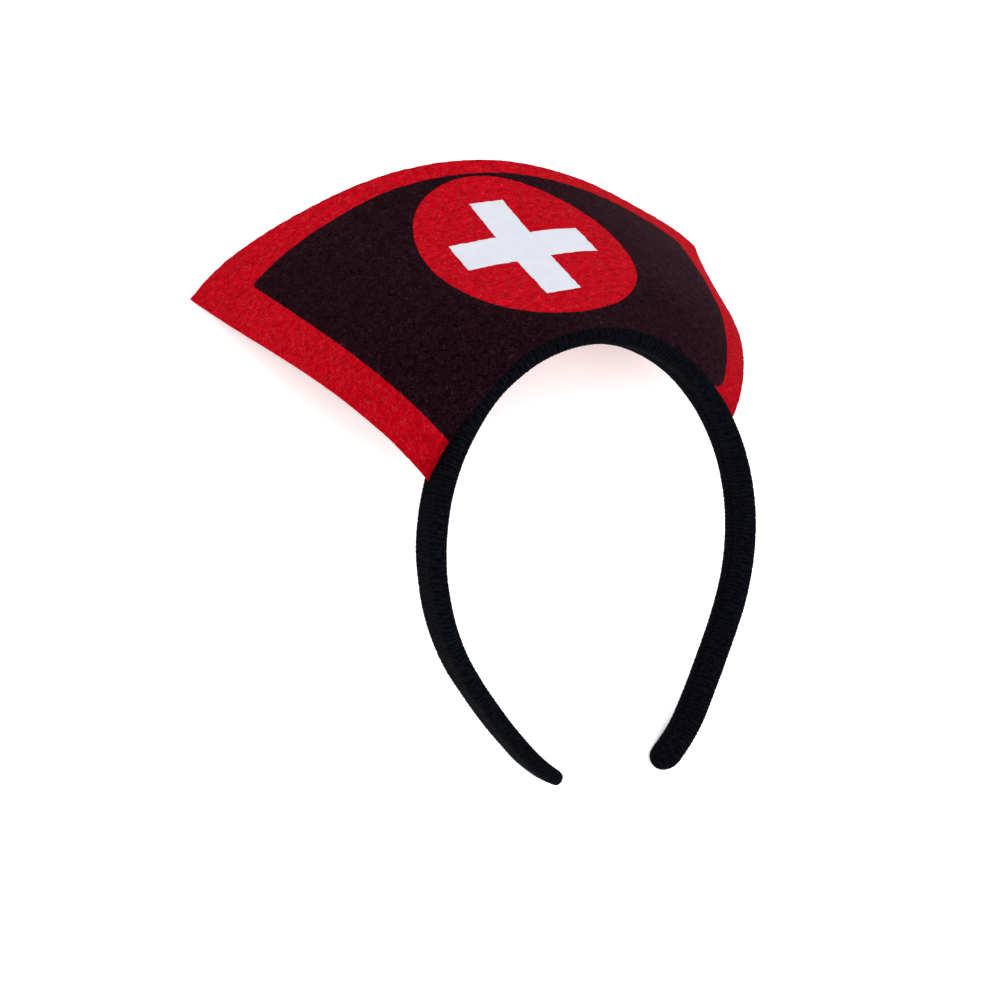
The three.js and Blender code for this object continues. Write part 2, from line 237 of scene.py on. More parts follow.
def band_at(distance):
    """Point, outward and tangent of the band's middle line at signed distances from the crown."""
    distance = np.asarray(distance, float)
    side = np.where(distance < 0, -1.0, 1.0)
    away = np.abs(distance)
    row = np.clip(np.searchsorted(ARCS[:, 0], away, side="right") - 1, 0, len(ARCS) - 1)
    start, x, z, angle, radius = (ARCS[row, k] for k in range(5))
    end = angle + (away - start) / radius
    x = x + radius * (np.sin(end) - np.sin(angle))
    z = z + radius * (np.cos(end) - np.cos(angle))
    zero = np.zeros_like(x)
    point = np.stack([side * x, zero, z], -1)
    outward = np.stack([side * np.sin(end), zero, np.cos(end)], -1)
    tangent = np.stack([np.cos(end), zero, -side * np.sin(end)], -1)
    past = np.maximum(away / BAND_HALF_LENGTH - ARM_BEND_START, 0) / (1 - ARM_BEND_START)
    left = np.where(distance < 0, past**2, 0)[..., None]
    right = np.where(distance > 0, past**4, 0)[..., None]
    last = np.clip(1 - (BAND_HALF_LENGTH + distance) / LEFT_TIP_REACH, 0, 2)[..., None] ** 2
    left_bend = left * (LEFT_ARM_DOWN * Y_AXIS - LEFT_ARM_IN * outward)
    out = (right * RIGHT_ARM_OUT + last * LEFT_TIP_OUT) * outward
    return point + left_bend + out, outward, tangent


def band_width(distance):
    share = np.abs(distance) / BAND_HALF_LENGTH
    wider = RIGHT_TIP_WIDER * np.clip(distance / BAND_HALF_LENGTH, 0, 1) ** 8
    return BAND_WIDTH + (BAND_TIP_WIDTH - BAND_WIDTH) * share + wider


def band_height(across, width, margin=0.0):
    """Height of the band's face over its middle line, at a place across the band."""
    half = BAND_THICKNESS / 2 + margin
    over = np.abs(across) - (width - BAND_THICKNESS) / 2
    return np.where(over <= 0, half, np.sqrt(np.maximum(half**2 - over**2, 0)))


# Shape of the felt

def section(rows, share):
    """A column of the felt's sections at a share along the half foot, as one smooth curve."""
    rows = np.asarray(rows, float)
    last = len(rows) - 1
    padded = np.concatenate([[rows[1]], rows, [2 * rows[-1] - rows[-2]]])
    place = np.minimum(np.abs(share), 1.2) * last
    index = np.clip(np.floor(place).astype(int), 0, last - 1)
    t = place - index
    p0, p1, p2, p3 = (padded[index + k] for k in range(4))
    bend = 2 * p0 - 5 * p1 + 4 * p2 - p3
    twist = 3 * p1 - p0 - 3 * p2 + p3
    return p1 + 0.5 * t * (p2 - p0 + t * (bend + t * twist))


def felt_height(share):
    """Length of the felt from its foot to its upper edge."""
    trim = RIGHT_TRIM * np.exp(-(((share - RIGHT_TRIM_PLACE) / RIGHT_TRIM_LENGTH) ** 2))
    return FELT_HEIGHT * section(HEIGHT, share) + CORNER_REACH * np.minimum(share**24, 1) - trim


def felt_bare(share, rise):
    """Point of the felt's front face without its relief: share -1 to 1 along, rise 0 to 1 up."""
    share, rise = np.broadcast_arrays(np.asarray(share, float), np.asarray(rise, float))
    distance = share * FELT_FOOT_HALF
    point, outward, tangent = band_at(distance)
    width = band_width(distance)
    across = section(FOOT, share) * width / 2
    seat = band_height(across, width) + GLUE
    sweep = np.radians(-FELT_FOOT_SWEEP * share - FELT_END_SWEEP * share**3)[..., None]
    out = outward * np.cos(sweep) + tangent * np.sin(sweep)
    foot, mid, top = (np.radians(section(c, share)) for c in (FOOT_LEAN, MID_LEAN, TOP_LEAN))
    step = rise * felt_height(share) / BEND_STEPS
    place = point + across[..., None] * Y_AXIS + seat[..., None] * outward
    for index in range(BEND_STEPS):
        t = rise * (index + 0.5) / BEND_STEPS
        lean = foot * (1 - t) * (1 - 2 * t) + mid * 4 * t * (1 - t) + top * t * (2 * t - 1)
        place = place + (step * np.cos(lean))[..., None] * out
        place = place + (step * np.sin(lean))[..., None] * Y_AXIS
    sag = np.where(share < 0, LEFT_CORNER_SAG, RIGHT_CORNER_SAG) * share**8 * rise**4
    return place - sag[..., None] * AXES[:, 2]


def felt_flat(share, rise):
    """Place on the felt as it is laid out in a fan, in metres."""
    radius = FAN_RADIUS + rise * felt_height(share)
    return radius * np.sin(share * FAN_HALF_ANGLE), radius * np.cos(share * FAN_HALF_ANGLE)


def felt_frame(share, rise):
    """Bare point, unit normal to the front, and unit steps along and up the felt."""
    probe = 1e-3
    along = felt_bare(share + probe, rise) - felt_bare(share - probe, rise)
    up = felt_bare(share, rise + probe) - felt_bare(share, np.maximum(rise - probe, 0))
    return felt_bare(share, rise), unit(np.cross(along, up)), unit(along), unit(up)


def felt_relief(share, rise):
    """Height of the felt's front face over its bare shape: soft swells and the felt's own lumps."""
    u, v = felt_flat(share, rise)
    soft = bumps(u, v, SHEET_BUMPS)
    for along, up, height in SWELLS:
        spread = ((share - along) / SWELL_LENGTH) ** 2 + ((rise - up) / SWELL_REACH) ** 2
        soft = soft + height * np.exp(-spread)
    return soft * np.clip(rise * 5, 0, 1) + bumps(u, v, FELT_LUMPS)


def felt_surface(share, rise, off):
    """Points off the felt's front face, relief and all."""
    share, rise = np.broadcast_arrays(np.asarray(share, float), np.asarray(rise, float))
    point, normal, _, _ = felt_frame(share, rise)
    return point + (felt_relief(share, rise) + off)[..., None] * normal


class Artwork:
    """The flat artwork laid on the felt: a across, b up from the middle of the round."""

    probe = 0.05

    def __init__(self):
        self.middle = DISC_RISE / FELT_HEIGHT
        here = felt_bare(0, self.middle)
        up = unit(felt_bare(0, self.middle + self.probe) - here)
        ends = felt_bare(self.probe, self.middle) + felt_bare(-self.probe, self.middle)
        run = self.probe * self.stretch(self.middle)
        self.bend = (ends - 2 * here) @ up / run**2

    def stretch(self, rise):
        gap = felt_bare(self.probe, rise) - felt_bare(-self.probe, rise)
        return np.linalg.norm(gap, axis=-1) / (2 * self.probe)

    def place(self, a, b):
        """Share and rise of points of the artwork."""
        a, b = a + DISC_OFF[0], b + DISC_OFF[1]
        rise = np.clip(self.middle + (b - self.bend * a**2 / 2) / FELT_HEIGHT, 0, 1)
        return a / self.stretch(rise), rise

    def find(self, share, rise):
        """Points of the artwork at places on the felt."""
        a = share * self.stretch(rise)
        b = (rise - self.middle) * FELT_HEIGHT + self.bend * a**2 / 2
        return a - DISC_OFF[0], b - DISC_OFF[1]


ARTWORK = Artwork()


# Meshes

def make_piece(name, points, faces, material, uv, relief=None):
    """A piece of the cap from points in the band's frame, riding on the part's one body."""
    mesh = bpy.data.meshes.new(name)
    placed = to_row(points)
    placed[:, 2] = np.maximum(placed[:, 2], FLOOR_CLEARANCE)
    mesh.from_pydata(placed.tolist(), [], faces)
    corners = np.empty(len(mesh.loops), np.int32)
    mesh.loops.foreach_get("vertex_index", corners)
    layer = mesh.uv_layers.new(name="flat")
    layer.data.foreach_set("uv", uv[corners].astype(np.float32).ravel())
    if relief is not None:
        values = mesh.attributes.new("relief", "FLOAT", "POINT")
        values.data.foreach_set("value", relief.astype(np.float32))
    mesh.polygons.foreach_set("use_smooth", [True] * len(mesh.polygons))
    mesh.materials.append(material)
    mesh.validate()
    mesh.update()
    piece = bpy.data.objects.new(name, mesh)
    bpy.context.scene.collection.objects.link(piece)
    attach(piece, "root")
    return piece


def grid_faces(numbers):
    """Quads over a grid of point numbers."""
    quads = np.stack([numbers[:-1, :-1], numbers[:-1, 1:], numbers[1:, 1:], numbers[1:, :-1]], -1)
    return quads.reshape(-1, 4)


def strip(first, second):
    """Quads between two closed rows of point numbers."""
    return np.stack([first, np.roll(first, -1), np.roll(second, -1), second], -1)


def rim_of(grid):
    """The outer row of a grid, once round."""
    return np.concatenate([grid[0, :-1], grid[:-1, -1], grid[-1, :0:-1], grid[:0:-1, 0]])


def closed_faces(quads, size):
    """Faces of a thin closed skin: an upper side, a lower side whose numbers follow, and walls."""
    edges = np.stack([quads, np.roll(quads, -1, 1)], -1).reshape(-1, 2)
    key = edges[:, 0] * size + edges[:, 1]
    back = edges[:, 1] * size + edges[:, 0]
    a, b = edges[~np.isin(key, back)].T
    walls = np.stack([b, a, a + size, b + size], -1)
    return np.concatenate([quads, quads[:, ::-1] + size, walls]).tolist()


# Felt front

FELT_COLUMNS = 281
FELT_ROWS = 131
# The felt's cut edge from front to back: share of the edge round, share of the thickness.
EDGE_PROFILE = [(0.4, 0.09), (0.06, 0.28), (0, 0.56), (0.03, 0.78), (0.3, 0.93)]


def clear_of_band(points, share, margin):
    """Moves points that lie in the band out to its face, as the glued edge is trimmed."""
    distance = share * FELT_FOOT_HALF
    for _ in range(4):
        middle, outward, tangent = band_at(distance)
        distance = distance + np.sum((points - middle) * tangent, -1)
    middle, outward, _ = band_at(distance)
    across = points[..., 1]
    height = np.sum((points - middle) * outward, -1)
    width = band_width(distance)
    inside = (np.abs(across) < width / 2 + margin) & (height > -BAND_THICKNESS)
    face = band_height(across, width, margin)
    lift = np.where(inside, np.maximum(face - height, 0), 0)
    return points + lift[..., None] * outward


def felt_front(material):
    """The felt sheet as a closed shell with a softly rounded cut edge."""
    share, rise = np.meshgrid(np.linspace(-1, 1, FELT_COLUMNS), np.linspace(0, 1, FELT_ROWS))
    u, v = felt_flat(share, rise)
    uneven = bumps(u, v, CUT_EDGE_BUMPS)
    share = share + uneven / FELT_FOOT_HALF * np.sign(share) * np.abs(share) ** 12
    rise = rise + uneven / FELT_HEIGHT * rise**6

    def layer(inset, depth):
        s = share * (1 - inset / FELT_FOOT_HALF)
        r = inset / FELT_HEIGHT + rise * (1 - 2 * inset / FELT_HEIGHT)
        _, normal, _, _ = felt_frame(s, r)
        place = felt_surface(s, r, 0) - depth * normal
        near = rise < 0.12
        place[near] = clear_of_band(place[near], s[near], GLUE)
        return place, np.stack(felt_flat(s, r), -1)

    front, front_uv = layer(EDGE_INSET, 0)
    back, back_uv = layer(EDGE_INSET, FELT_THICKNESS)
    points = [front.reshape(-1, 3), back.reshape(-1, 3)]
    uvs = [front_uv.reshape(-1, 2), back_uv.reshape(-1, 2)]
    size = share.size
    numbers = np.arange(size).reshape(share.shape)
    faces = [grid_faces(numbers), grid_faces(numbers)[:, ::-1] + size]
    count = 2 * size
    rings = [rim_of(numbers)]
    for inset, depth in EDGE_PROFILE:
        place, place_uv = layer(inset * EDGE_ROUND, depth * FELT_THICKNESS)
        points.append(rim_of(place))
        uvs.append(rim_of(place_uv))
        rings.append(count + np.arange(len(points[-1])))
        count += len(points[-1])
    rings.append(rim_of(numbers) + size)
    for first, second in zip(rings, rings[1:]):
        faces.append(strip(second, first))
    return make_piece("felt", np.concatenate(points), np.concatenate(faces).tolist(), material,
                      np.concatenate(uvs))


# Print

def printed_skin(name, share, rise, quads, fade, high, material):
    """A thin skin of ink on the felt; fade is 0 at its edge and 1 well inside."""
    rise = np.clip(rise, 0, 1)
    thick = (high - PRINT_LOW) * (0.3 + 0.7 * fade)
    skins = []
    for off in (PRINT_LOW + thick, np.full(share.shape, PRINT_LOW)):
        skin = felt_surface(share, rise, off)
        near = rise < 0.05
        skin[near] = clear_of_band(skin[near], share[near], GLUE + off.max())
        skins.append(skin)
    flat = np.stack(felt_flat(share, rise), -1)
    return make_piece(name, np.concatenate(skins), closed_faces(quads, share.size), material,
                      np.concatenate([flat, flat]))


def panel_side(rise, right):
    """Share of the panel's side edge at a rise."""
    border = SIDE_BORDER_FOOT + (SIDE_BORDER_TOP - SIDE_BORDER_FOOT) * rise
    if right:
        over = np.clip(1 - rise * FELT_HEIGHT / RIGHT_FOOT_ROUND, 0, 1)
        border = border + RIGHT_FOOT_ROUND * (1 - np.sqrt(1 - over**2))
    return 1 - border / FELT_FOOT_HALF


def panel_top(share):
    """Rise of the panel's upper edge at a share along."""
    corner = share / PANEL_CORNER
    ease = LEFT_TOP_EASE * share**2 - LEFT_TOP_POINT * corner**12
    border = TOP_BORDER + TOP_BORDER_GAIN * share**2 + np.where(share < 0, ease, 0)
    return 1 - border / felt_height(share)


def panel_outline(spacing=0.8 * MM):
    """The panel's edge once round, counter-clockwise, as share and rise."""
    foot_length, top_length, side_length = 110 * MM, 165 * MM, 75 * MM

    def steps(length):
        return np.linspace(0, 1, int(length / spacing), endpoint=False)

    def edge(t, right):
        rise = t
        for _ in range(6):
            rise = t * panel_top(panel_side(rise, right))
        return np.stack([panel_side(rise, right), rise], -1)

    foot_right, foot_left = edge(np.zeros(1), True)[0, 0], -edge(np.zeros(1), False)[0, 0]
    top_right, top_left = edge(np.ones(1), True)[0, 0], -edge(np.ones(1), False)[0, 0]
    foot = foot_left + (foot_right - foot_left) * steps(foot_length)
    over = top_right + (top_left - top_right) * steps(top_length)
    right = edge(steps(side_length) ** 1.3, True)
    left = edge(1 - steps(side_length), False) * [-1, 1]
    top = np.stack([over, panel_top(over)], -1)
    return np.concatenate([np.stack([foot, 0 * foot], -1), right, top, left])


def ragged(outline, amount, seed):
    """Shifts an outline of share and rise a little, as ink spreads unevenly into felt."""
    scale = [FELT_FOOT_HALF * 1.2, FELT_HEIGHT]
    u, v = felt_flat(outline[:, 0], outline[:, 1])
    shift = amount * (0.7 * waves(u, v, 2.2 * MM, seed) + 0.5 * waves(u, v, 6 * MM, seed + 1))
    ahead = (np.roll(outline, -1, 0) - np.roll(outline, 1, 0)) * scale
    out = unit(np.stack([ahead[:, 1], -ahead[:, 0]], -1))
    free = np.clip(outline[:, 1] * 12, 0, 1)
    return outline + (shift * free)[:, None] * out / scale


def printed_panel(material, rings=76):
    outer = panel_outline()
    a, b = ARTWORK.find(outer[:, 0], outer[:, 1])
    turn = np.arctan2(b, a)
    inner = np.stack(ARTWORK.place(DISC_RADIUS * np.cos(turn), DISC_RADIUS * np.sin(turn)), -1)
    inner = ragged(inner, INK_SPREAD, 31)
    outer = ragged(outer, INK_SPREAD, 21)
    mix = (1 - np.cos(np.linspace(0, np.pi, rings)))[:, None, None] / 2
    places = (inner * (1 - mix) + outer * mix).reshape(-1, 2)
    width = np.linalg.norm((outer - inner) * [FELT_FOOT_HALF * 1.2, FELT_HEIGHT], axis=-1)
    inside = (np.minimum(mix, 1 - mix)[..., 0] * width).ravel()
    numbers = np.arange(len(places)).reshape(rings, -1)
    quads = grid_faces(np.concatenate([numbers, numbers[:, :1]], 1))[:, ::-1]
    fade = 1 - np.exp(-inside / (0.15 * MM))
    return printed_skin("panel_print", places[:, 0], places[:, 1], quads, fade, PRINT_HIGH,
                        material)


def printed_cross(material):
    """The cross on a grid that is finer near its edges, with slightly uneven edges."""
    long, short = CROSS_SPAN / 2, CROSS_ARM / 2
    ease = (1 - np.cos(np.linspace(0, np.pi, 37))) / 2
    arm = short + (long - short) * ease
    core = -short + 2 * short * ease
    line = np.concatenate([-arm[:0:-1], core, arm[1:]])
    a, b = np.meshgrid(line, line)
    to_bar = np.minimum(long - np.abs(a), short - np.abs(b))
    to_post = np.minimum(long - np.abs(b), short - np.abs(a))
    inside = np.maximum(to_bar, to_post)
    middle = (line[1:] + line[:-1]) / 2
    keep = (np.abs(middle)[:, None] < short) | (np.abs(middle)[None] < short)
    used = inside > -1e-9
    numbers = np.cumsum(used.ravel()).reshape(used.shape) - 1
    quads = grid_faces(numbers)[keep.ravel()]
    a, b, inside = a[used], b[used], inside[used]
    a, b = a + bumps(a, b, CROSS_BUMPS_A), b + bumps(a, b, CROSS_BUMPS_B)
    c, s = math.cos(CROSS_TURN), math.sin(CROSS_TURN)
    share, rise = ARTWORK.place(a * c - b * s + CROSS_OFF[0], a * s + b * c + CROSS_OFF[1])
    fade = 1 - np.exp(-np.maximum(inside, 0) / (0.12 * MM))
    return printed_skin("cross_print", share, rise, quads, fade, CROSS_HIGH, material)


# Headband

def band_ring():
    """Places round the band's section: share of the flat half width, turn of the round edge.

    Closer together at the lap of the fabric on the inner face."""
    lap = [0.5, 0.32, 0.26, 0.235, 0.21, 0.185, 0.16, 0.1, -0.05]
    inner_places = [1, 0.9, 0.75, 0.62, *lap, -0.2, -0.35, -0.5, -0.65, -0.8, -0.92, -1]
    round_steps = np.linspace(0, np.pi, 10)[1:-1]
    outer = [(x, 0.0) for x in np.linspace(-1, 1, 15)]
    right = [(1.0, t) for t in round_steps]
    inner = [(x, np.pi) for x in inner_places]
    left = [(-1.0, 2 * np.pi - t) for t in round_steps[::-1]]
    return np.array(outer + right + inner + left)


def band_stations():
    """Distances along the band with how far its section has closed, from tip to tip."""
    start = 0.35  # the first ring stands off the tip, where one point closes the end
    turn = np.pi / 2 * (1 - (np.arange(TIP_RINGS) + start) / (TIP_RINGS + start))
    reach = BAND_TIP_ROUND * (1 - np.sin(turn))
    left_end, right_end = BAND_ENDS
    low, high = left_end + BAND_TIP_ROUND, right_end - BAND_TIP_ROUND
    body = np.linspace(low, high, int((high - low) / (RIB_PITCH / RINGS_PER_RIB)))
    distance = np.concatenate([left_end + reach, body, right_end - reach[::-1]])
    close = np.concatenate([np.cos(turn), np.ones(len(body)), np.cos(turn)[::-1]])
    return distance, close


def ring_lengths(flat_share, turn):
    """Distances round the section at the crown, from its first place."""
    flat_half, round_half = (BAND_WIDTH - BAND_THICKNESS) / 2, BAND_THICKNESS / 2
    x = flat_share * flat_half + round_half * np.sin(turn)
    ring = np.stack([x, round_half * np.cos(turn)], -1)
    return np.cumsum(np.linalg.norm(np.diff(ring, axis=0, prepend=ring[:1]), axis=1))


def ribs(along, around):
    """Height of the ribs over the band's plain shape, and how full they are, 0 to 1; the fullness
    also sets the painted shade in the grooves.
    """
    crest = 0.5 + 0.5 * np.cos(2 * np.pi * (along / RIB_PITCH + bumps(along, around, RIB_WANDER)))
    firm = np.clip(0.8 + bumps(along, around, RIB_FIRMNESS), 0.25, 1.2)
    height = FABRIC_FULLNESS + RIB_DEPTH * (crest**0.7 - 1) * firm
    return height + bumps(along, around, BAND_BUMPS), 1 - (1 - crest) * firm


def lap(distance, across, turn):
    """Height of the fabric's lap on the inner face, and the narrow notch beside it, 0 to 1."""
    past = across - LAP_PLACE - bumps(distance, 0 * distance, LAP_BUMPS)
    inner = np.clip((np.cos(turn - np.pi) - 0.9) / 0.1, 0, 1)
    step = LAP_STEP * inner / (1 + np.exp(-past / LAP_EDGE))
    notch = np.exp(-(((past + NOTCH_WIDTH) / NOTCH_WIDTH) ** 2)) * inner
    return step * (1 - np.clip(past / LAP_FADE, 0, 1)), notch


def gathers(along, across, height):
    """Height of the small gathers where the fabric closes over each tip."""
    to_tip = np.minimum(BAND_ENDS[1] - along, along - BAND_ENDS[0]) / GATHER_REACH
    turn = GATHERS * np.arctan2(height, across * 0.6) + 1.3 * np.sign(along)
    return GATHER_DEPTH * np.exp(-(to_tip**2)) * np.cos(turn)


def headband(material):
    """The fabric-covered band, closed at each tip by one point."""
    distance, close = (column[:, None] for column in band_stations())
    flat_share, turn = band_ring().T[:, None]
    left_share = np.clip(-distance / BAND_HALF_LENGTH, 0, 1) ** 4
    full = BAND_THICKNESS + (LEFT_TIP_THICKNESS - BAND_THICKNESS) * left_share
    thickness = full * close**0.7
    width = np.maximum(band_width(distance) * close, BAND_TIP_FLATNESS * thickness)
    half = thickness / 2
    across = flat_share * (width / 2 - half) + half * np.sin(turn)
    height = half * np.cos(turn)

    along = np.broadcast_to(distance, across.shape)
    around = np.broadcast_to(ring_lengths(flat_share[0], turn[0]), across.shape)
    # relief is the ribs' fullness, which paints shade into the grooves' colour
    bulge, relief = ribs(along, around)
    step, notch = lap(distance, across, turn)
    bulge = bulge + step - NOTCH_DEPTH * notch + gathers(along, across, height)
    bulge = bulge * np.clip(close * 1.6, 0, 1)
    # the notch beside the lap also deepens the painted groove shade
    relief = relief * (1 - 0.7 * notch)

    middle, outward, _ = band_at(along)
    normal = np.sin(turn)[..., None] * Y_AXIS + np.cos(turn)[..., None] * outward
    points = middle + across[..., None] * Y_AXIS + height[..., None] * outward
    points = points + bulge[..., None] * normal
    numbers = np.arange(across.size).reshape(across.shape)
    wrapped = np.concatenate([numbers, numbers[:, :1]], 1)
    faces = grid_faces(wrapped).tolist()
    first, last = across.size, across.size + 1
    for place in range(across.shape[1]):
        faces.append([int(wrapped[0, place + 1]), int(wrapped[0, place]), first])
        faces.append([int(wrapped[-1, place]), int(wrapped[-1, place + 1]), last])
    ends = np.array(BAND_ENDS)
    points = np.concatenate([points.reshape(-1, 3), band_at(ends)[0]])
    uv = np.stack([along.ravel(), around.ravel()], -1)
    uv = np.concatenate([uv, np.stack([ends, 0 * ends], -1)])
    relief = np.concatenate([relief.ravel(), [1, 1]])
    return make_piece("band_cover", points, faces, material, uv, relief)


# Materials

class Shader:
    """A material's node tree, with nodes added and joined by short calls."""

    def __init__(self, name):
        self.material = bpy.data.materials.new(name)
        self.material.use_nodes = True
        self.tree = self.material.node_tree
        self.surface = self.tree.nodes["Principled BSDF"]

    def add(self, kind, settings=(), **inputs):
        node = self.tree.nodes.new("ShaderNode" + kind)
        for name, value in dict(settings).items():
            setattr(node, name, value)
        for name, value in inputs.items():
            self.put(node, name.replace("_", " "), value)
        return node

    def put(self, node, name, value):
        socket = node.inputs[int(name)] if name.isdigit() else node.inputs[name]
        if isinstance(value, bpy.types.NodeSocket):
            self.tree.links.new(value, socket)
        else:
            socket.default_value = value

    def finish(self, colour, normal, roughness, **constants):
        self.put(self.surface, "Base Color", colour)
        self.put(self.surface, "Normal", normal)
        self.put(self.surface, "Roughness", roughness)
        for name, value in constants.items():
            self.put(self.surface, name.replace("_", " "), value)
        return self.material

    def flat(self):
        """Place on the cloth as it is laid out flat, in metres."""
        return self.add("UVMap", {"uv_map": "flat"}).outputs[0]

    def math(self, operation, first, second=0.0):
        node = self.add("Math", {"operation": operation})
        self.put(node, "0", first)
        self.put(node, "1", second)
        return node.outputs[0]

    def shifted(self, vector, x, y):
        node = self.add("VectorMath", {"operation": "ADD"})
        self.put(node, "0", vector)
        self.put(node, "1", (x, y, 0))
        return node.outputs[0]

    def noise(self, vector, scale, detail=2.0, roughness=0.5, distortion=0.0):
        return self.add("TexNoise", Vector=vector, Scale=scale, Detail=detail,
                        Roughness=roughness, Distortion=distortion).outputs["Fac"]

    def stretched(self, vector, degrees, ratio):
        """The vector turned, and drawn out along its new first axis."""
        node = self.add("Mapping", {"vector_type": "TEXTURE"}, Vector=vector,
                        Rotation=(0, 0, math.radians(degrees)), Scale=(ratio, 1, 1))
        return node.outputs[0]

    def span(self, value, low, high, to_low=0.0, to_high=1.0):
        node = self.add("MapRange", Value=value)
        ends = {"From Min": low, "From Max": high, "To Min": to_low, "To Max": to_high}
        for name, number in ends.items():
            node.inputs[name].default_value = number
        return node.outputs[0]

    def mix(self, share, first, second):
        node = self.add("Mix", {"data_type": "RGBA"})
        self.put(node, "0", share)
        for index, value in (("6", first), ("7", second)):
            self.put(node, index, (*value, 1) if isinstance(value, tuple) else value)
        return node.outputs[2]

    def tinted(self, colour, rows):
        """The colour with tones mixed in, from rows of field, its range, shares and the tone."""
        for field, low, high, share_low, share_high, tone in rows:
            share = self.span(field, low, high, share_low, share_high)
            colour = self.mix(share, colour, tone)
        return colour

    def bump(self, height, distance, strength):
        return self.add("Bump", Height=height, Distance=distance, Strength=strength).outputs[0]

    def strands(self, flat, scale, width, number):
        """Thin curved fibres in broken lengths, 0 to 1."""
        moved = self.shifted(flat, 0.137 * number, 0.071 * number)
        field = self.noise(moved, scale, 1.0, 0.5, 0.9)
        off = self.math("ABSOLUTE", self.math("SUBTRACT", field, 0.5))
        line = self.span(off, 0, width, 1, 0)
        gaps = self.span(self.noise(moved, scale * 1.7, 0.0), 0.48, 0.6)
        return self.math("MULTIPLY", line, gaps)


# Direction in degrees and draw of the fibres' main layers in the felt.
FIBRE_LAYERS = [(12, 6), (64, 5), (-34, 5)]
# Scale and width of the loose fibres on the felt.
STRAND_LAYERS = [(330, 0.012), (420, 0.014), (540, 0.017)]


def fibre_fields(shader, flat):
    """The felt's mat of fibres and its loose fibres on top, both 0 to 1."""
    mat = None
    for degrees, ratio in FIBRE_LAYERS:
        layer = shader.noise(shader.stretched(flat, degrees, ratio), 2100, 3.0, 0.6, 0.4)
        mat = layer if mat is None else shader.math("ADD", mat, layer)
    mat = shader.span(mat, 1.3, 1.7)
    loose = None
    for number, (scale, width) in enumerate(STRAND_LAYERS):
        layer = shader.strands(flat, scale, width, number + 1)
        loose = layer if loose is None else shader.math("MAXIMUM", loose, layer)
    return mat, loose


def painted_foot_shade_and_ink(shader, flat):
    """Two fields from 0 to 1: painted shade, where the side borders are darkened towards the foot,
    and where the panel's ink has run off the front onto the felt's lower cut edge."""
    length = shader.add("VectorMath", {"operation": "LENGTH"})
    shader.put(length, "0", flat)
    up = shader.math("SUBTRACT", length.outputs["Value"], FAN_RADIUS)
    across = shader.math("ABSOLUTE", shader.add("SeparateXYZ", Vector=flat).outputs["X"])
    # painted shade, strongest at the foot of the side borders
    shade = shader.math("MULTIPLY", shader.span(up, 5 * MM, 60 * MM, 1, 0),
                        shader.span(across, 40 * MM, 60 * MM))
    ink = shader.math("MULTIPLY", shader.span(up, 0.4 * MM, 0.8 * MM, 1, 0),
                      shader.span(across, INK_RUN - MM, INK_RUN, 1, 0))
    return shade, ink


def felt_material():
    shader = Shader("red_felt")
    flat = shader.flat()
    mat, loose = fibre_fields(shader, flat)
    fine = shader.noise(flat, 3600, 2.0, 0.6)
    clouds = shader.noise(flat, 420, 4.0, 0.65)
    patches = shader.noise(flat, 42, 2.0, 0.5)
    streaks = shader.noise(shader.stretched(flat, 22, 3.5), 950, 3.0, 0.6, 0.8)
    shade, ink = painted_foot_shade_and_ink(shader, flat)
    colour = shader.tinted(shader.mix(mat, (0.284, 0.0002, 0.0031), (0.458, 0.0006, 0.007)), [
        (streaks, 0.34, 0.5, 0.6, 0, (0.2, 0.0001, 0.0022)),
        (streaks, 0.52, 0.68, 0, 0.7, (0.52, 0.0015, 0.0105)),
        (clouds, 0.3, 0.5, 0.6, 0, (0.23, 0.0001, 0.0025)),
        (clouds, 0.5, 0.68, 0, 0.5, (0.52, 0.002, 0.011)),
        (patches, 0.35, 0.65, 0.14, 0, (0.27, 0.0002, 0.003)),
        (fine, 0.55, 0.75, 0, 0.3, (0.54, 0.004, 0.014)),
        (loose, 0, 1, 0, 0.55, (0.6, 0.045, 0.06)),
        # painted shade: the side borders are darker towards their foot
        (shade, 0, 1, 0, 0.42, (0.17, 0.0001, 0.0022)),
        (ink, 0, 1, 0, 1, (0.006, 0.0015, 0.003)),
    ])
    relief = shader.math("ADD", mat, shader.math("MULTIPLY", loose, 0.5))
    return shader.finish(colour, shader.bump(relief, 0.00018, 0.8),
                         shader.span(mat, 0, 1, 0.95, 0.82), Specular_IOR_Level=0.005,
                         Sheen_Weight=0.014, Sheen_Roughness=0.45, Sheen_Tint=(1, 0.5, 0.55, 1))


def loose_fibre_material():
    shader = Shader("loose_red_fibres")
    tone = shader.noise(shader.flat(), 300, 2.0, 0.5)
    colour = shader.mix(shader.span(tone, 0.35, 0.65), (0.4, 0.002, 0.011), (0.64, 0.04, 0.058))
    shine = shader.noise(shader.flat(), 2500, 1.0, 0.5)
    return shader.finish(colour, shader.bump(shine, 0.00002, 0.3),
                         shader.span(shine, 0, 1, 0.6, 0.8), Specular_IOR_Level=0.05)


def black_print_material():
    shader = Shader("black_print")
    flat = shader.flat()
    mat, loose = fibre_fields(shader, flat)
    clouds = shader.noise(flat, 260, 4.0, 0.6)
    colour = shader.tinted(shader.mix(mat, (0.001, 0.0003, 0.0007), (0.0105, 0.0026, 0.005)), [
        (clouds, 0.5, 0.7, 0, 0.5, (0.014, 0.003, 0.0056)),
        (loose, 0, 1, 0, 0.7, (0.034, 0.015, 0.024)),
    ])
    relief = shader.math("ADD", mat, shader.math("MULTIPLY", loose, 0.6))
    return shader.finish(colour, shader.bump(relief, 0.00016, 0.8),
                         shader.span(mat, 0, 1, 0.92, 0.75), Specular_IOR_Level=0.01,
                         Sheen_Weight=0.031, Sheen_Roughness=0.4, Sheen_Tint=(1, 0.28, 0.4, 1))


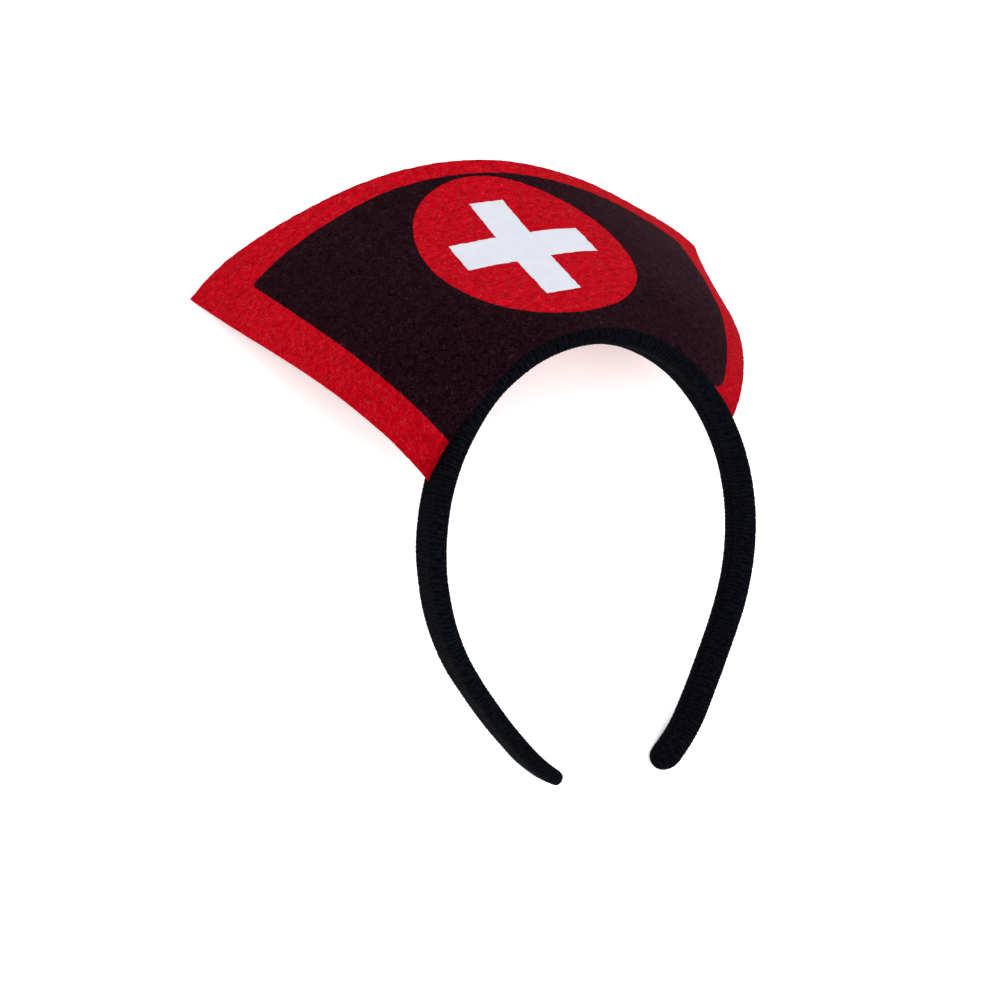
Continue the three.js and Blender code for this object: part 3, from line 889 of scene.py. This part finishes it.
def white_print_material():
    shader = Shader("white_print")
    flat = shader.flat()
    clouds = shader.noise(flat, 260, 3.0, 0.6)
    grain = shader.noise(flat, 1500, 2.0, 0.6)
    weave = shader.noise(shader.stretched(flat, 20, 5), 1300, 2.0, 0.5)
    colour = shader.mix(shader.span(clouds, 0.3, 0.7), (0.46, 0.478, 0.53), (0.5, 0.515, 0.567))
    colour = shader.mix(shader.span(grain, 0.45, 0.75, 0, 0.3), colour, (0.535, 0.545, 0.585))
    relief = shader.math("ADD", grain, weave)
    return shader.finish(colour, shader.bump(relief, 0.00006, 0.45),
                         shader.span(clouds, 0.3, 0.7, 0.6, 0.75), Specular_IOR_Level=0.25)


def band_material():
    shader = Shader("band_fabric")
    flat = shader.flat()
    threads = shader.noise(shader.stretched(flat, 90, 4), 2600, 2.0, 0.6, 0.3)
    twist = shader.noise(shader.stretched(flat, 4, 3), 3400, 2.0, 0.6, 0.2)
    clouds = shader.noise(flat, 90, 2.0, 0.5)
    painted_rib_shade = shader.add("Attribute", {"attribute_name": "relief"}).outputs["Fac"]
    lint = shader.noise(flat, 2400, 0.0, 0.5)
    thread = shader.mix(shader.span(threads, 0.35, 0.7), (0.0007, 0.0009, 0.0017),
                        (0.0052, 0.0058, 0.0092))
    colour = shader.tinted(thread, [
        # painted shade: the ribs' grooves and the notch beside the lap are darkened
        (painted_rib_shade, 0.2, 0.8, 0.85, 0, (0.0003, 0.0003, 0.0005)),
        (clouds, 0.35, 0.7, 0, 0.3, (0.0012, 0.0012, 0.002)),
        (lint, 0.8, 0.86, 0, 0.4, (0.02, 0.02, 0.023)),
    ])
    relief = shader.math("ADD", threads, shader.math("MULTIPLY", twist, 0.7))
    return shader.finish(colour, shader.bump(relief, 0.00012, 0.8),
                         shader.span(twist, 0.3, 0.7, 0.7, 0.88), Specular_IOR_Level=0.009,
                         Sheen_Weight=0.002, Sheen_Roughness=0.35, Sheen_Tint=(0.8, 0.85, 1, 1))


def floor_material():
    """A white table, lit a little from below so that shadows stay faint."""
    shader = Shader("floor")
    place = shader.add("TexCoord").outputs["Object"]
    tone = shader.noise(place, 3, 2.0, 0.5)
    grain = shader.noise(place, 900, 2.0, 0.5)
    return shader.finish(shader.mix(tone, (0.93, 0.93, 0.93), (0.95, 0.95, 0.95)),
                         shader.bump(grain, 0.00002, 0.2), shader.span(tone, 0, 1, 0.85, 0.95),
                         Specular_IOR_Level=0.1, Emission_Color=(1, 1, 1, 1),
                         Emission_Strength=0.15)


# Fuzz

FIBRE_STEPS = 5
FIBRE_SIDES = 3


def fibre_piece(name, roots, ahead, normal, lengths, lift, radius, material, uv, rng):
    """Loose fibres as thin strands: each leaves the felt at its root, bows up and runs ahead."""
    t = np.linspace(0, 1, FIBRE_STEPS)[None, :, None]
    side = np.cross(normal, ahead)
    curl = rng.normal(0, 0.35, (len(roots), 1, 1))
    bow = lift[:, None, None] * np.sin(np.pi * np.clip(t * 0.95 + 0.02, 0, 1))
    run = t * ahead[:, None] + curl * t**2 * side[:, None]
    line = roots[:, None] + lengths[:, None, None] * run + bow * normal[:, None]
    thick = radius[:, None, None] * np.sqrt(np.clip(1 - (2 * t - 1) ** 6, 0.02, 1))
    corners = []
    for turn in np.arange(FIBRE_SIDES) * 2 * np.pi / FIBRE_SIDES:
        out = math.cos(turn) * side[:, None] + math.sin(turn) * normal[:, None]
        corners.append(line + thick * out)
    points = np.stack(corners, 2)
    numbers = np.arange(points.size // 3).reshape(points.shape[:3])
    turned = np.roll(numbers, -1, 2)
    quads = np.stack([numbers[:, :-1], turned[:, :-1], turned[:, 1:], numbers[:, 1:]], -1)
    caps = np.concatenate([numbers[:, 0, ::-1], numbers[:, -1]])
    faces = quads.reshape(-1, 4).tolist() + caps.tolist()
    per_fibre = FIBRE_STEPS * FIBRE_SIDES
    slide = np.tile(np.linspace(0, MM, per_fibre), len(roots))
    strand_uv = np.repeat(uv, per_fibre, 0) + slide[:, None]
    return make_piece(name, points.reshape(-1, 3), faces, material, strand_uv)


def in_panel(share, rise, margin):
    """True where a place lies in the black panel, off its edges by a margin."""
    side = panel_side(rise, False) - margin / FELT_FOOT_HALF
    top = panel_top(share) - margin / FELT_HEIGHT
    disc = np.hypot(*ARTWORK.find(share, rise))
    return (np.abs(share) < side) & (rise < top) & (disc > DISC_RADIUS + margin)


def in_cross(share, rise, margin):
    a, b = ARTWORK.find(share, rise)
    long, short = CROSS_SPAN / 2 + margin, CROSS_ARM / 2 + margin
    bar = (np.abs(a) < long) & (np.abs(b) < short)
    post = (np.abs(b) < long) & (np.abs(a) < short)
    return bar | post


def surface_fuzz(name, count, seed, keep, front, material, slot, lengths, lift, radius):
    """Fibres lying on one face of the felt, where keep says so."""
    rng = np.random.default_rng(seed)
    share, rise = rng.uniform(-0.985, 0.985, count), rng.uniform(0.03, 0.98, count)
    kept = keep(share, rise)
    share, rise = share[kept], rise[kept]
    count = len(share)
    point, normal, along, up = felt_frame(share, rise)
    turn = np.radians(rng.normal(15, 50, count))[:, None]
    ahead = np.cos(turn) * along + np.sin(turn) * up
    off = 0.0 if front else -FELT_THICKNESS
    root = point + (felt_relief(share, rise) + off)[:, None] * normal
    uv = np.stack(felt_flat(share, rise), -1)
    face = normal if front else -normal
    return fibre_piece(name, root, ahead, face, rng.uniform(*lengths, count),
                       rng.uniform(*lift, count), rng.uniform(*radius, count), material,
                       uv, rng)


def edge_fuzz(material, count=2600):
    """Fibres that stand out of the felt's cut edge."""
    rng = np.random.default_rng(91)
    where = rng.uniform(0, 1, count)
    on_top = where < 0.54
    share = np.where(on_top, rng.uniform(-1, 1, count), np.where(where < 0.77, -1.0, 1.0))
    rise = np.where(on_top, 1.0, rng.uniform(0.06, 1, count))
    point, normal, along, up = felt_frame(share, rise)
    depth = rng.uniform(0.1, 0.9, count) * FELT_THICKNESS
    root = point + (felt_relief(share, rise) - depth)[:, None] * normal
    out = np.where(on_top[:, None], up, np.sign(share)[:, None] * along)
    slide = np.where(on_top[:, None], along, up)
    lean = rng.normal(0, 0.9, (count, 1))
    ahead = unit(out + lean * slide + rng.normal(0, 0.35, (count, 1)) * normal)
    square = unit(np.cross(ahead, slide))
    uv = np.stack(felt_flat(share, rise), -1)
    return fibre_piece("edge_fuzz", root - out * 0.25 * MM, ahead, square,
                       rng.uniform(0.35, 0.8, count) * MM, rng.uniform(0, 0.12, count) * MM,
                       rng.uniform(0.013, 0.022, count) * MM, material, uv, rng)


def fuzz(red, black):
    """Loose fibres on the bare felt, on the print, on the back and along the cut edge."""
    def bare(share, rise):
        return ~in_panel(share, rise, -0.6 * MM) & ~in_cross(share, rise, 2.2 * MM)

    def printed(share, rise):
        return in_panel(share, rise, 1.6 * MM)

    def anywhere(share, rise):
        return np.ones(share.shape, bool)

    # Ranges of length, lift and radius.
    lie = ((0.8 * MM, 2.6 * MM), (0.02 * MM, 0.14 * MM), (0.017 * MM, 0.031 * MM))
    raised = ((0.7 * MM, 2 * MM), (0.14 * MM, 0.26 * MM), (0.014 * MM, 0.026 * MM))
    surface_fuzz("front_fuzz", 12000, 61, bare, True, red, "red_felt", *lie)
    surface_fuzz("back_fuzz", 5200, 71, anywhere, False, red, "red_felt", *lie)
    surface_fuzz("panel_fuzz", 9000, 81, printed, True, black, "black_print", *raised)
    edge_fuzz(red)


# Floor, lights and camera

def pose(place, x, y, z):
    """A matrix from a place and three axes."""
    rows = np.eye(4)
    rows[:3, 0], rows[:3, 1], rows[:3, 2], rows[:3, 3] = x, y, z, place
    return Matrix(rows.tolist())


def floor():
    mesh = bpy.data.meshes.new("floor")
    signs = [(-1, -1), (1, -1), (1, 1), (-1, 1)]
    corners = [(x * FLOOR_HALF, y * FLOOR_HALF, 0) for x, y in signs]
    mesh.from_pydata(corners, [], [(0, 1, 2, 3)])
    mesh.materials.append(floor_material())
    ground = bpy.data.objects.new("floor", mesh)
    bpy.context.scene.collection.objects.link(ground)


def light(name, place, aim, size, power):
    data = bpy.data.lights.new(name, "AREA")
    data.shape = "DISK"
    data.size = size
    data.energy = power
    lamp = bpy.data.objects.new(name, data)
    away = unit(np.array(place, float) - np.array(aim, float))
    side = unit(np.cross(Y_AXIS, away))
    lamp.matrix_world = pose(place, side, np.cross(away, side), away)
    bpy.context.scene.collection.objects.link(lamp)


def lights():
    world = bpy.data.worlds.new("studio")
    world.use_nodes = True
    background = world.node_tree.nodes["Background"]
    background.inputs["Color"].default_value = (1, 1, 1, 1)
    background.inputs["Strength"].default_value = WORLD_STRENGTH
    bpy.context.scene.world = world
    for row in LIGHTS:
        light(*row)
    bpy.context.scene.view_settings.view_transform = "Standard"


def camera():
    az, el, roll = CAMERA_AZIMUTH, CAMERA_ELEVATION, CAMERA_ROLL
    toward = np.array([-math.sin(az) * math.cos(el), -math.cos(az) * math.cos(el), math.sin(el)])
    level = np.array([math.cos(az), -math.sin(az), 0])
    upright = np.cross(toward, level)
    right = math.cos(roll) * level + math.sin(roll) * upright
    above = math.cos(roll) * upright - math.sin(roll) * level
    data = bpy.data.cameras.new("camera")
    data.lens = CAMERA_LENS
    data.sensor_width = CAMERA_SENSOR
    data.clip_start = 0.01
    view = bpy.data.objects.new("camera", data)
    place = to_row(CAMERA_AIM + CAMERA_DISTANCE * toward)
    view.matrix_world = pose(place, right @ AXES, above @ AXES, toward @ AXES)
    bpy.context.scene.collection.objects.link(view)
    bpy.context.scene.camera = view


# The cap

black_print = black_print_material()
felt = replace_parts(felt_front(felt_material()), "felt_front")
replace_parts(printed_panel(black_print), "printed_panel")
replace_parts(printed_cross(white_print_material()), "printed_cross")
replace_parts(headband(band_material()), "headband")
fuzz(loose_fibre_material(), black_print)

floor()
lights()
camera()
